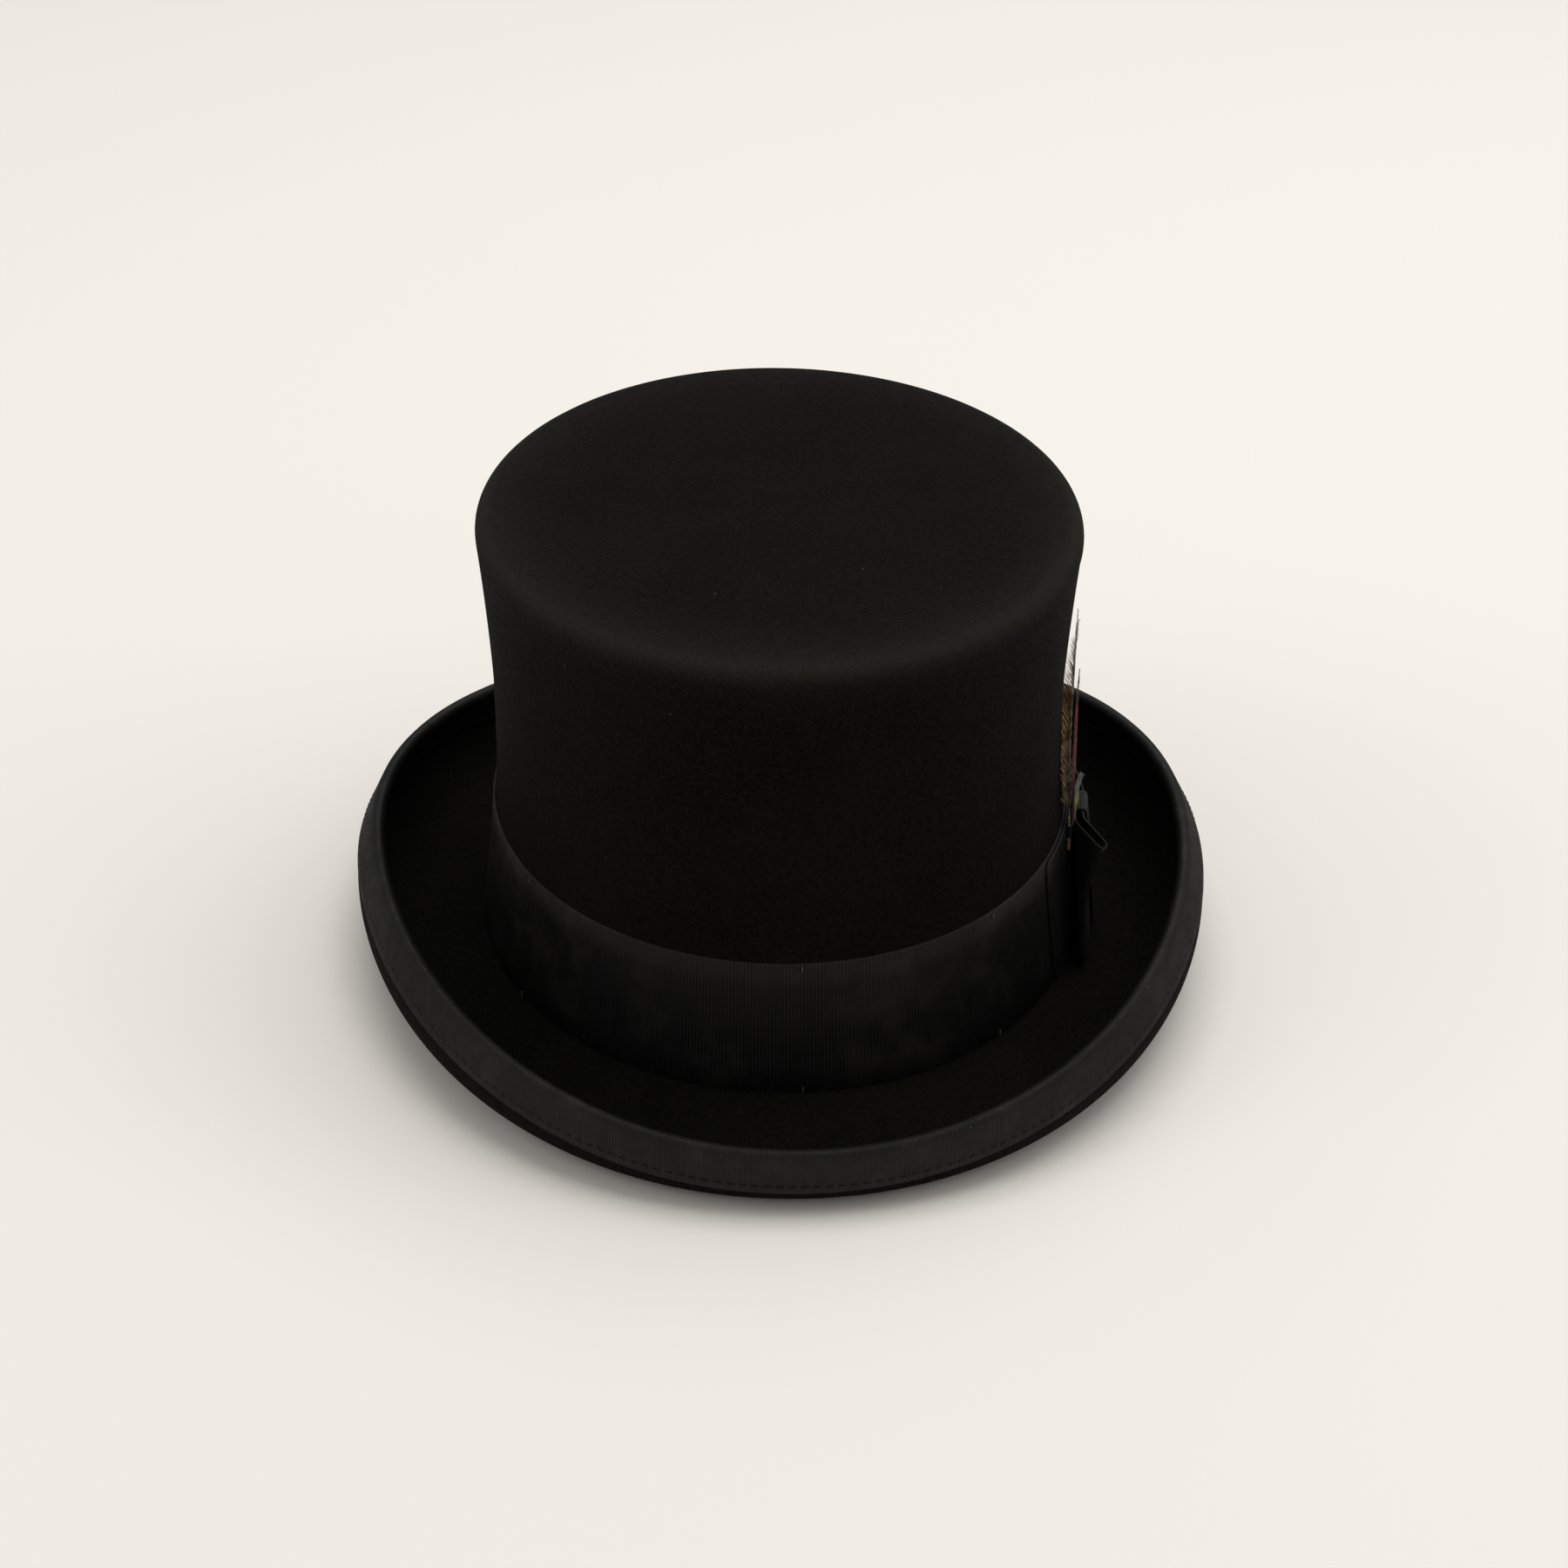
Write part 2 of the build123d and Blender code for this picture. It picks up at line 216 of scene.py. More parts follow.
def grid_mesh(name, points, uv, loop_along=True, loop_across=True, close_ends=False, crest=None,
              disc=False):
    """A mesh over a grid of points (along, across, xyz) in millimetres, with UVs in metres."""
    along, across = points.shape[:2]
    rows = np.arange(along if loop_along else along - 1)
    columns = np.arange(across if loop_across else across - 1)
    row, column = np.meshgrid(rows, columns, indexing="ij")
    row_next, column_next = (row + 1) % along, (column + 1) % across
    faces = np.stack([row * across + column, row_next * across + column,
                      row_next * across + column_next, row * across + column_next], -1).reshape(-1, 4)
    face_list = faces.tolist()
    if close_ends:
        half = across // 2
        for end, flip in ((0, False), (along - 1, True)):
            for j in range(half - 1):
                corners = [end * across + j, end * across + j + 1,
                           end * across + across - 2 - j, end * across + across - 1 - j]
                face_list.append(corners[::-1] if flip else corners)
    mesh = bpy.data.meshes.new(name)
    mesh.from_pydata((points.reshape(-1, 3) * MM).tolist(), [], face_list)
    u_step, v_positions = uv
    corner_row = np.stack([row, row + 1, row + 1, row], -1).reshape(-1)
    corner_column = np.stack([column, column, column_next, column_next], -1).reshape(-1)
    layer = mesh.uv_layers.new(name="UVMap")
    coordinates = np.zeros((len(mesh.loops), 2))
    used = len(corner_row)
    coordinates[:used, 0] = corner_row * u_step * MM
    coordinates[:used, 1] = np.asarray(v_positions)[corner_column] * MM
    layer.data.foreach_set("uv", coordinates.ravel())
    if crest is not None:
        height = mesh.attributes.new("crest", "FLOAT", "POINT")
        height.data.foreach_set("value", crest.astype(np.float32).ravel())
    if disc:
        weld(mesh)
    return finish_mesh(name, mesh)


def lengths(points):
    """Running length along a line of points."""
    steps = np.linalg.norm(np.diff(points, axis=0), axis=1)
    return np.concatenate([[0], np.cumsum(steps)])


def even_angles(curve, count, start=0.0, stop=2 * math.pi):
    """Angles that split curve(angle) into equal lengths; a whole turn leaves out the last."""
    dense = np.linspace(start, stop, 1441)
    run = lengths(curve(dense))
    closed = abs(stop - start - 2 * math.pi) < 1e-6
    wanted = np.linspace(0, run[-1], count, endpoint=not closed)
    return np.interp(wanted, run, dense), run[-1]


samples_per_rib = 4


def rib_wave(count):
    """1 on each rib and 0 in each groove, four samples to the rib."""
    return 0.5 + 0.5 * np.cos(2 * np.pi * np.arange(count) / samples_per_rib)


def cloth(name, base, normals, across_positions, step, thickness, rib=0.0, scallop=0.0,
          relief=0.0, loop_along=True, disc=False):
    """A sheet with two faces: ribs stand on the outer face, and the selvedges are scalloped."""
    along, across = base.shape[:2]
    wave = rib_wave(along)[:, None] if rib else np.zeros((along, 1))
    edge_thin = np.ones(across)
    edge_thin[[0, -1]] = 0.45
    outside = base + normals * ((thickness + rib * wave) * edge_thin + relief)[..., None]
    inside = base + normals * np.broadcast_to(np.asarray(relief) * 1.0, (along, across))[..., None]
    if scallop:
        for edge, inner in ((0, 1), (-1, -2)):
            outwards = unit(base[:, edge] - base[:, inner])
            push = outwards * (wave - 0.5) * 2 * scallop
            outside[:, edge] += push
            inside[:, edge] += push
    points = np.concatenate([outside, inside[:, ::-1]], axis=1)
    positions = np.concatenate([across_positions, across_positions[::-1]])
    crest = np.broadcast_to(wave if rib else np.ones_like(wave), (along, 2 * across))
    return grid_mesh(name, points, (step, positions), loop_along, True, not loop_along, crest, disc)


def tube_rings(centres, radius, sides=8, flat=1.0, up=(0, 0, 1)):
    """Rings of points round a line of centres; radius may vary along it."""
    tangents = unit(np.gradient(centres, axis=0))
    across = unit(np.cross(tangents, np.asarray(up, float)))
    other = np.cross(across, tangents)
    turn = np.linspace(0, 2 * np.pi, sides, endpoint=False)
    radius = np.broadcast_to(radius, (len(centres),))[:, None, None]
    return (centres[:, None] + radius * (np.cos(turn)[None, :, None] * across[:, None]
            + flat * np.sin(turn)[None, :, None] * other[:, None]))


def strands_mesh(name, strands, uvs):
    """One mesh from many closed strands: each is rings of points (stations, sides, xyz)."""
    vertices, faces, coordinates = [], [], []
    base = 0
    for rings, (u, v_values) in zip(strands, uvs):
        stations, sides = rings.shape[:2]
        vertices.append(rings.reshape(-1, 3))
        for i in range(stations - 1):
            for j in range(sides):
                k = (j + 1) % sides
                faces.append([base + i * sides + j, base + (i + 1) * sides + j,
                              base + (i + 1) * sides + k, base + i * sides + k])
                coordinates += [(u, v_values[i]), (u, v_values[i + 1]),
                                (u, v_values[i + 1]), (u, v_values[i])]
        faces.append([base + j for j in range(sides)])
        faces.append([base + (stations - 1) * sides + j for j in reversed(range(sides))])
        coordinates += [(u, v_values[0])] * sides + [(u, v_values[-1])] * sides
        base += stations * sides
    mesh = bpy.data.meshes.new(name)
    mesh.from_pydata((np.concatenate(vertices) * MM).tolist(), [], faces)
    layer = mesh.uv_layers.new(name="UVMap")
    layer.data.foreach_set("uv", (np.array(coordinates) * MM).ravel())
    return finish_mesh(name, mesh)


def waves(angle, seed, orders, amplitude):
    """A smooth random ripple round the hat, the same at every run."""
    local = np.random.default_rng(seed)
    total = np.zeros_like(angle)
    for order in orders:
        total = total + local.normal() * np.cos(order * angle + local.uniform(0, 2 * np.pi))
    return amplitude * total / math.sqrt(len(orders))


# Felt hood: tip, crown wall, brim and the inside of the crown in one skin


def wall_swell(angle, z):
    """How far the old felt stands in or out of its true oval, above the band."""
    rise = np.clip((z - 50.0) / 30.0, 0, 1) * np.clip((tip_z - z) / 9.0, 0, 1)
    return (waves(angle, 5, (1, 2, 3, 5), 0.3) + waves(angle, 6, (4, 7, 9), 0.16) * np.sin(z / 17)) * rise


def hood_points(angle):
    """The hood's outline at an array of angles, from the middle of the tip to its inside."""
    roll = BrimRoll(angle)
    ones = np.ones_like(angle)
    columns = []
    rim = crown_half_width(tip_z) - tip_edge_radius
    for share in np.linspace(0.0, 1.0, 20)[:-1]:
        dish = 0.9 * (1 - share ** 3)
        ripple = waves(angle, 3, (1, 2, 3), 0.35) * share ** 2 * (1 - share) * 4
        columns.append(np.stack([rim * share * np.cos(angle),
                                 (rim + length_extra) * share * np.sin(angle),
                                 tip_z - dish + ripple], -1))
    for turn in np.linspace(0, np.pi / 2, 11):
        z = tip_z - tip_edge_radius * (1 - np.cos(turn))
        inset = tip_edge_radius * (np.sin(turn) - 1)
        columns.append(oval(angle, z * ones, inset * ones)[0])
    wall_foot = foot_z + felt + junction_radius
    for z in np.linspace(tip_z - tip_edge_radius, wall_foot, 54)[1:]:
        columns.append(oval(angle, z * ones, wall_swell(angle, z))[0])
    for turn in np.linspace(0, np.pi / 2, 5)[1:]:
        out = junction_radius * (1 - np.cos(turn))
        columns.append(roll.place(out * ones, (wall_foot - junction_radius * np.sin(turn)) * ones))
    top = -felt / 2
    first = roll.share_at(junction_radius + 0.3, top)
    for share in np.linspace(0, 1, 18)[:-1]:
        columns.append(roll.flat(first + (1 - first) * share, top))
    for share in np.linspace(0, 1, 20):
        columns.append(roll.arc(roll.slope + (roll.upright - roll.slope) * share, top))
    columns.append(roll.end((roll.straight - edge_reach) * 0.5, top))
    for turn in np.linspace(np.pi, 0, 7):
        columns.append(roll.cap(turn * ones, felt / 2 * ones)[0])
    columns.append(roll.end((roll.straight - edge_reach) * 0.5, -top))
    for share in np.linspace(1, 0, 26):
        columns.append(roll.arc(roll.slope + (roll.upright - roll.slope) * share, -top))
    for share in np.linspace(1, 0, 18)[1:]:
        columns.append(roll.flat(share * ones, -top))
    inner_corner = tip_edge_radius - felt / 2
    for z in np.linspace(foot_z, tip_z - felt - inner_corner, 14):
        columns.append(oval(angle, z * ones, -felt * ones)[0])
    for turn in np.linspace(np.pi / 2, 0, 5)[1:]:
        z = tip_z - felt - inner_corner * (1 - np.cos(turn))
        inset = -felt - inner_corner * (1 - np.sin(turn))
        columns.append(oval(angle, z * ones, inset * ones)[0])
    under = rim - 1.0
    for share in np.linspace(0.8, 0.0, 4):
        columns.append(np.stack([under * share * np.cos(angle),
                                 (under + length_extra) * share * np.sin(angle),
                                 (tip_z - felt) * ones], -1))
    return np.stack(columns, axis=1)


hood_angles = np.linspace(0, 2 * np.pi, 400, endpoint=False)
hood_grid = hood_points(hood_angles)
tip_columns = 20
# Mask for a lighter band round the tip's edge: partly rubbed felt, partly a painted highlight on the
# rim's ridge.
edge_distance = np.abs(np.arange(hood_grid.shape[1]) - tip_columns - 3)
hood_rim_wear_and_highlight = np.exp(-(edge_distance / 5.0) ** 2)
hood = grid_mesh("felt_hood", hood_grid, (1.5, np.arange(hood_grid.shape[1]) * 1.5), True, False,
                 crest=np.broadcast_to(hood_rim_wear_and_highlight, hood_grid.shape[:2]), disc=True)

# Ribbon binding round the brim, folded over the felt's edge, with its row of stitches


def binding_path(angle, outward):
    """Points and normals across the binding, from its outer selvedge to its inner one."""
    roll = BrimRoll(angle)
    ones = np.ones_like(angle)
    points, normals = [], []
    run = roll.straight - edge_reach
    for side, height in ((1, binding_heights[0] + waves(angle, 11, (2, 3, 5, 8), 0.22)),
                         (-1, binding_heights[1] + waves(angle, 12, (2, 4, 7), 0.2))):
        face, face_normals = [], []
        radius = roll.radius + side * outward
        start = roll.upright - np.maximum(height - roll.straight, 0.4) / radius
        for share in (0, 0.05, 0.5, 1.0):
            slope = start + (roll.upright - start) * share
            face.append(roll.arc(slope, side * outward))
            face_normals.append(side * roll.normal(slope))
        face.append(roll.end(run * 0.6, side * outward))
        face_normals.append(side * roll.normal(roll.upright))
        if side > 0:
            points, normals = face, face_normals
            for turn in np.linspace(0, np.pi, 5):
                point, normal = roll.cap(turn * ones, outward * ones)
                points.append(point)
                normals.append(normal)
        else:
            points += face[::-1]
            normals += face_normals[::-1]
    return np.stack(points, 1), np.stack(normals, 1)


def fold_line(angle):
    return BrimRoll(angle).cap(np.full_like(angle, np.pi / 2), np.full_like(angle, felt / 2))[0]


binding_ribs = 1050
binding_angles, binding_length = even_angles(fold_line, binding_ribs * samples_per_rib)
base, normals = binding_path(binding_angles, felt / 2 + cloth_gap)
binding = cloth("brim_binding_ribbon", base, normals, lengths(base[0]),
                binding_length / len(binding_angles), 0.36, rib=0.27, scallop=0.12)


def dashes(name, centres, directions, outs, length, radius):
    """Sewing stitches: short rounded threads, half sunk into the cloth."""
    profile = np.array([-0.5, -0.42, -0.2, 0.0, 0.2, 0.42, 0.5])
    rounding = np.array([0.25, 0.75, 1.0, 1.0, 1.0, 0.75, 0.25])
    dive = np.array([-0.9, -0.35, 0.0, 0.05, 0.0, -0.35, -0.9])
    turn = np.linspace(0, 2 * np.pi, 6, endpoint=False)
    strands = []
    for centre, along, out in zip(centres, directions, outs):
        across = np.cross(along, out)
        line = centre + along * (profile * length)[:, None] + out * (dive * radius)[:, None]
        ring = (np.cos(turn)[:, None] * across + np.sin(turn)[:, None] * out) * radius
        strands.append(line[:, None] + ring[None] * rounding[:, None, None])
    return strands_mesh(name, strands, [(0.0, profile * length)] * len(strands))


def stitch_row(count, side, height, seed):
    """Centres, directions and normals of the stitches on one face of the binding."""
    angle, _ = even_angles(fold_line, count)
    angle = angle + np.random.default_rng(seed).normal(0, 0.0007, count)
    outward = felt / 2 + cloth_gap + 0.55

    def line(angle):
        roll = BrimRoll(angle)
        slope = roll.upright - np.maximum(height - roll.straight, 0.0) / (roll.radius + side * outward)
        return roll.arc(slope, side * outward), side * roll.normal(slope)

    points, outs = line(angle)
    return points, unit(line(angle + 0.004)[0] - line(angle - 0.004)[0]), outs


rows = [stitch_row(264, 1, binding_heights[0] - stitch_above_selvedge, 21),
        stitch_row(264, -1, binding_heights[1] - stitch_above_selvedge + 0.4, 22)]
stitches = dashes("binding_stitches", *(np.concatenate(part) for part in zip(*rows)), 2.3, 0.24)

# Band round the foot of the crown


def band_cloth(name, low, high, outward, angles, step, thickness, rib, scallop, corner=0.0):
    """A ribbon that lies round the crown between two heights."""
    loop = corner == 0.0
    shares = np.array([0, 0.012, 0.2, 0.4, 0.6, 0.8, 0.988, 1])
    bottom = np.full_like(angles, low)
    top = np.full_like(angles, high)
    if not loop:
        end = np.minimum(np.arange(len(angles)), np.arange(len(angles))[::-1]) * step
        rise = corner - np.sqrt(np.maximum(corner ** 2 - np.maximum(corner - end, 0) ** 2, 0))
        bottom, top = bottom + rise, top - rise
    base, normals = [], []
    for share in shares:
        z = bottom + (top - bottom) * share
        point, facing = oval(angles, z, np.full_like(angles, outward))
        base.append(point)
        normals.append(facing)
    return cloth(name, np.stack(base, 1), np.stack(normals, 1), shares * (high - low), step,
                 thickness, rib=rib, scallop=scallop, loop_along=loop)


def band_line(angle):
    return oval(angle, np.full_like(angle, 30.0))[0]


band_ribs = 620
band_angles, band_length = even_angles(band_line, band_ribs * samples_per_rib)
hat_band = band_cloth("hat_band_ribbon", band_low_z, band_high_z, cloth_gap, band_angles,
                      band_length / len(band_angles), 0.46, 0.32, 0.14)

# Bow: its backing, its loops and the keeper round their middle

bow_angle, bow_tilt = math.radians(-10.0), math.radians(5.2)
point, facing = oval(np.array([bow_angle]), np.array([band_high_z]), np.array([0.85]))
bow_origin, bow_out = point[0], facing[0]
bow_back = np.array([-bow_out[1], bow_out[0], 0.0])
up = np.array([0.0, 0.0, 1.0])
bow_up = up * math.cos(bow_tilt) - bow_out * math.sin(bow_tilt)
bow_u = np.cross(bow_back, bow_up)
bow_width = 38.0


def bow_point(u, v, w):
    """Point u out from the band, v towards the back and w down from the band's top."""
    u, v, w = (np.asarray(x, float)[..., None] for x in (u, v, w))
    return bow_origin + bow_u * u + bow_back * v - bow_up * w


reach = (band_line(band_angles * 1.0) - bow_origin) @ bow_back
near_side = np.cos(band_angles - bow_angle) > 0
order = np.argsort(reach[near_side])
backing_ends = np.interp((-36.0, 36.0), reach[near_side][order],
                         np.where(band_angles > np.pi, band_angles - 2 * np.pi,
                                  band_angles)[near_side][order])
backing_angles, backing_length = even_angles(band_line, 78 * samples_per_rib + 1, *backing_ends)
bow_backing = band_cloth("bow_backing_ribbon", 8.6, 45.6, 0.95, backing_angles,
                         backing_length / (len(backing_angles) - 1), 0.45, 0.2, 0.1, corner=3.0)


def closed_spline(knots, count):
    """Evenly spaced points on a smooth closed curve through knots, and its outward normals."""
    knots = np.asarray(knots, float)
    total = len(knots)
    share = np.linspace(0, 1, 40, endpoint=False)[:, None]
    parts = []
    for i in range(total):
        a, b, c, d = (knots[(i + k) % total] for k in (-1, 0, 1, 2))
        parts.append(b + 0.5 * share * (c - a + share * (2 * a - 5 * b + 4 * c - d
                     + share * (3 * (b - c) + d - a))))
    dense = np.concatenate(parts + [parts[0][:1]])
    run = lengths(dense)
    wanted = np.linspace(0, run[-1], count, endpoint=False)
    points = np.stack([np.interp(wanted, run, dense[:, k]) for k in range(dense.shape[1])], -1)
    tangent = unit(np.roll(points, -1, 0) - np.roll(points, 1, 0))
    outward = np.stack([tangent[:, 1], -tangent[:, 0]], -1)
    middle = points.mean(0)
    if np.sum((points - middle) * outward) < 0:
        outward = -outward
    return points, outward, run[-1]


def ribbon_loop(name, top, ribs, place, width, thickness, rib, scallop, bottom=None):
    """A closed loop of ribbon, with the outline of its top edge and of its bottom edge."""
    upper, upper_out, length = closed_spline(top, ribs * samples_per_rib)
    lower, lower_out, _ = closed_spline(bottom or top, ribs * samples_per_rib)
    shares = np.array([0, 0.012, 0.05, 0.1, 0.16, 0.24, 0.34, 0.46, 0.6, 0.8, 0.988, 1])
    base, normals = [], []
    for share in shares:
        ease = 1 - (1 - share) ** 3
        outward = unit(upper_out + (lower_out - upper_out) * ease)
        inner = upper + (lower - upper) * ease - outward * thickness
        level = np.full(len(inner), width * share)
        here = place(inner[:, 0], inner[:, 1], level)
        base.append(here)
        normals.append(unit(place(inner[:, 0] + outward[:, 0], inner[:, 1] + outward[:, 1], level)
                            - here))
    return cloth(name, np.stack(base, 1), np.stack(normals, 1), shares * width,
                 length / len(upper), thickness - rib, rib=rib, scallop=scallop)


loop_top = [(2.05, -6.0), (2.5, -12.0), (6.3, -21.0), (8.9, -26.4), (10.5, -28.4),
            (12.0, -26.0), (10.9, -22.0), (7.6, -14.5), (5.3, -8.0), (5.1, 6.0), (4.3, 12.5),
            (2.9, 19.5), (1.0, 26.0), (-0.3, 28.2), (-0.8, 26.0), (0.3, 19.5), (1.4, 12.5),
            (2.0, 6.0)]
loop_bottom = [(2.0, -6.0), (1.7, -12.0), (1.9, -21.0), (2.2, -26.4), (3.0, -28.4),
               (4.0, -26.0), (4.5, -22.0), (5.0, -14.5), (5.1, -8.0)] + loop_top[9:]
bow_loops = ribbon_loop("bow_loop_ribbon", loop_top, 128, bow_point, bow_width, 0.7, 0.24, 0.12,
                        loop_bottom)

keeper_path = [(2.15, -0.62), (3.2, -0.82), (4.6, -0.84), (5.7, -0.6), (6.2, 0.6), (6.3, 6.0),
               (6.35, 12.0), (6.38, 19.0), (6.35, 26.0), (6.3, 32.0), (6.2, 37.4), (5.7, 38.6),
               (4.6, 38.84), (3.2, 38.82), (2.15, 38.62)]
keeper_path = np.array(keeper_path)
keeper_ribs = 60
keeper_width = 11.0
run = lengths(keeper_path)
keeper_steps = np.linspace(0, run[-1], keeper_ribs * samples_per_rib + 1)
keeper_line = np.stack([np.interp(keeper_steps, run, keeper_path[:, k]) for k in (0, 1)], -1)
for _ in range(12):
    keeper_line[1:-1] = (keeper_line[:-2] + 2 * keeper_line[1:-1] + keeper_line[2:]) / 4
tangent = np.gradient(keeper_line, axis=0)
keeper_out = unit(np.stack([tangent[:, 1], -tangent[:, 0]], -1))
base, normals = [], []
keeper_shares = np.array([0, 0.03, 0.15, 0.3, 0.45, 0.6, 0.75, 0.88, 0.97, 1])
for share in keeper_shares:
    v = (share - 0.5) * keeper_width
    crease = 0.22 * np.cos(share * 6 * np.pi) * np.sin(np.pi * keeper_steps / run[-1])
    inner = keeper_line - keeper_out * (0.62 + 0.1 - crease)[:, None]
    base.append(bow_point(inner[:, 0], np.full(len(inner), v), inner[:, 1]))
    normals.append(keeper_out[:, :1] * bow_u - keeper_out[:, 1:] * bow_up)
bow_keeper = cloth("bow_keeper_ribbon", np.stack(base, 1), np.stack(normals, 1),
                   keeper_shares * keeper_width, run[-1] / (keeper_ribs * samples_per_rib), 0.4,
                   rib=0.16, scallop=0.1, loop_along=False)

# Feather mount

mount_lean = math.radians(19.0)
mount_ahead = 12.0
mount_origin = bow_origin - bow_back * mount_ahead
mount_up = bow_back * math.sin(mount_lean) + up * math.cos(mount_lean)
mount_across = np.cross(mount_up, bow_out)


def mount_point(s, t, u):
    """Point s across the feathers, t up along their quills and u outwards."""
    s, t, u = (np.asarray(x, float)[..., None] for x in (s, t, u))
    return mount_origin + mount_across * s + mount_up * t + bow_out * u


def strand(line, radius, sides=4, flat=1.0):
    return tube_rings(line, radius, sides, flat, bow_out), (0.0, lengths(line))


def feather(name, layer, quill_low, vane_low, vane_high, half_width, seed, spacing=0.42,
            down=0, bow=0.0, cup=0.0, hug=0.0):
    """A feather: a tapered shaft, barbs in two vanes that split here and there, and down.

    Its tip stands off by bow, its middle lies in towards the crown by hug, and its edges
    curl in by cup."""
    def rise(height):
        part = np.clip((height - quill_low) / (vane_high - quill_low), 0, 1)
        return bow * part ** 2 - hug * np.sin(np.pi * part) ** 2

    local = np.random.default_rng(seed)
    parts = []
    along = np.linspace(quill_low, vane_high, 30)
    radius = np.interp(along, (quill_low, vane_low, vane_high), (0.17, 0.16, 0.04))
    parts.append(strand(mount_point(0 * along, along, layer + 0.15 + rise(along)), radius, 6))
    for side in (-1, 1):
        split = 0.0
        for t in np.arange(vane_low + 1.0, vane_high - 0.6, spacing):
            share = (t - vane_low) / (vane_high - vane_low)
            width = half_width * np.sin(np.pi * min(share ** 0.75 * 0.97 + 0.02, 1.0)) ** 0.6
            if local.random() < 0.035:
                split = local.uniform(0.3, 1.1)
            split *= 0.8
            steps = np.linspace(0, 1, 6)
            reach_out = width * (1 + local.normal(0, 0.03)) * steps
            climb = (reach_out * 0.95 + 0.06 * reach_out ** 2) + split * steps
            climb = np.minimum(t + climb, vane_high + 0.6 * (1 - share)) - t
            curl = -cup * steps ** 1.5 * np.sin(np.pi * min(share + 0.12, 1.0)) ** 0.5
            lift = rise(t) + curl + local.normal(0, 0.06 + 0.1 * abs(cup)) * steps
            line = mount_point(side * reach_out, t + climb, layer + 0.15 + lift)
            parts.append(strand(line, np.linspace(0.2, 0.06, 6), 4, 0.36))
    for _ in range(down):
        t = vane_low + local.uniform(-2.0, 7.0)
        side = local.choice((-1, 1))
        size = local.uniform(3.0, 7.5)
        steps = np.linspace(0, 1, 7)
        curl = local.normal(0, 0.8)
        line = mount_point(side * size * steps * 0.7, t + size * (steps * 0.7 + 0.3 * curl * steps ** 2),
                           layer + 0.15 + local.uniform(-0.1, 0.5) * steps * 2)
        parts.append(strand(line, np.linspace(0.07, 0.02, 7), 3))
    piece = strands_mesh(name, [part[0] for part in parts], [part[1] for part in parts])
    return piece


layer_step = 0.4
first_layer = 0.65
long_quill_low, short_quill_low = -8, -0.8
grey_feather = feather("down_feather", first_layer, long_quill_low, 4, 61, 5.0, 31, down=110,
                       bow=0.2, cup=0.5, hug=0.3)
tan_feather = feather("tan_hackle_feather", first_layer + layer_step, long_quill_low, 3, 58, 4.6,
                      32, spacing=0.38, bow=-0.2, cup=2.9, hug=1.0)
red_feather = feather("red_feather", first_layer + 2 * layer_step, long_quill_low, 2, 44, 3.8,
                      33, bow=0.5, cup=0.8, hug=-0.3)
blue_feather = feather("blue_grey_feather", first_layer + 3 * layer_step, short_quill_low, 0, 14,
                       4.2, 34, spacing=0.34, down=20, bow=2.6)

fibres = []
local = np.random.default_rng(35)
for i in range(110):
    spread = local.uniform(-1, 1)
    size = local.uniform(6.0, 10.2) * (1 - 0.25 * abs(spread))
    steps = np.linspace(0, 1, 7)
    curve = local.normal(0, 0.5)
    line = mount_point(spread * (0.6 + 3.2 * steps ** 1.2) + curve * steps ** 2,
                       0.8 + size * steps,
                       first_layer + 4 * layer_step + 0.15 + local.uniform(-0.2, 0.9) * steps ** 2)
    fibres.append(strand(line, np.linspace(0.09, 0.03, 7), 4))
hackle = strands_mesh("yellow_hackle", [f[0] for f in fibres], [f[1] for f in fibres])

wrap_turns = 12
turns = np.linspace(0, 2 * np.pi * wrap_turns, wrap_turns * 20)
stack_middle = first_layer + layer_step + 0.15
wrap_s = 0.5 * np.sign(np.cos(turns)) * np.abs(np.cos(turns)) ** 0.5
wrap_u = stack_middle + 0.66 * np.sign(np.sin(turns)) * np.abs(np.sin(turns)) ** 0.5
wrap_line = mount_point(wrap_s, np.linspace(-4.5, -1.1, len(turns)), wrap_u)
whipping = strands_mesh("quill_whipping_thread",
                        [tube_rings(wrap_line, 0.15, 6, 1.0, mount_up)], [(0.0, lengths(wrap_line))])

# Sweatband, its reed seam, its back seam tape and small bow

lining_outside = -felt - 0.15
sweatband_outside = lining_outside - 0.5 - 0.35
sweatband_inside = sweatband_outside - 1.2


def inside_cloth(name, low, high, outward, angles, thickness, loop, relief=None, rows=14, **more):
    """A sheet that lies round the inside of the crown; its good face looks inwards."""
    shares = np.linspace(0, 1, rows)
    base, normals = [], []
    for share in shares:
        z = np.full_like(angles, low + (high - low) * share)
        point, facing = oval(angles, z, np.full_like(angles, outward))
        if relief is not None:
            point = point - facing * relief(angles, share)[:, None]
        base.append(point)
        normals.append(-facing)
    step = np.linalg.norm(base[0][1] - base[0][0])
    return cloth(name, np.stack(base, 1), np.stack(normals, 1), shares * (high - low), step,
                 thickness, loop_along=loop, **more)


around = np.linspace(0, 2 * np.pi, 720, endpoint=False)
sweatband = inside_cloth("sweatband_leather", 7.6, 55.0, sweatband_outside, around, 1.1, True,
                         lambda a, share: 0.05 * np.sin(a * 37) * share)
stitch_angles, _ = even_angles(lambda a: oval(a, np.full_like(a, 10.0))[0], 190)
points, outs = oval(stitch_angles, np.full_like(stitch_angles, 10.2),
                    np.full_like(stitch_angles, sweatband_inside + 0.08))
later, _ = oval(stitch_angles + 0.01, np.full_like(stitch_angles, 10.2),
                np.full_like(stitch_angles, sweatband_inside + 0.08))
reed_stitches = dashes("sweatband_stitches", points, unit(later - points), -outs, 2.2, 0.22)

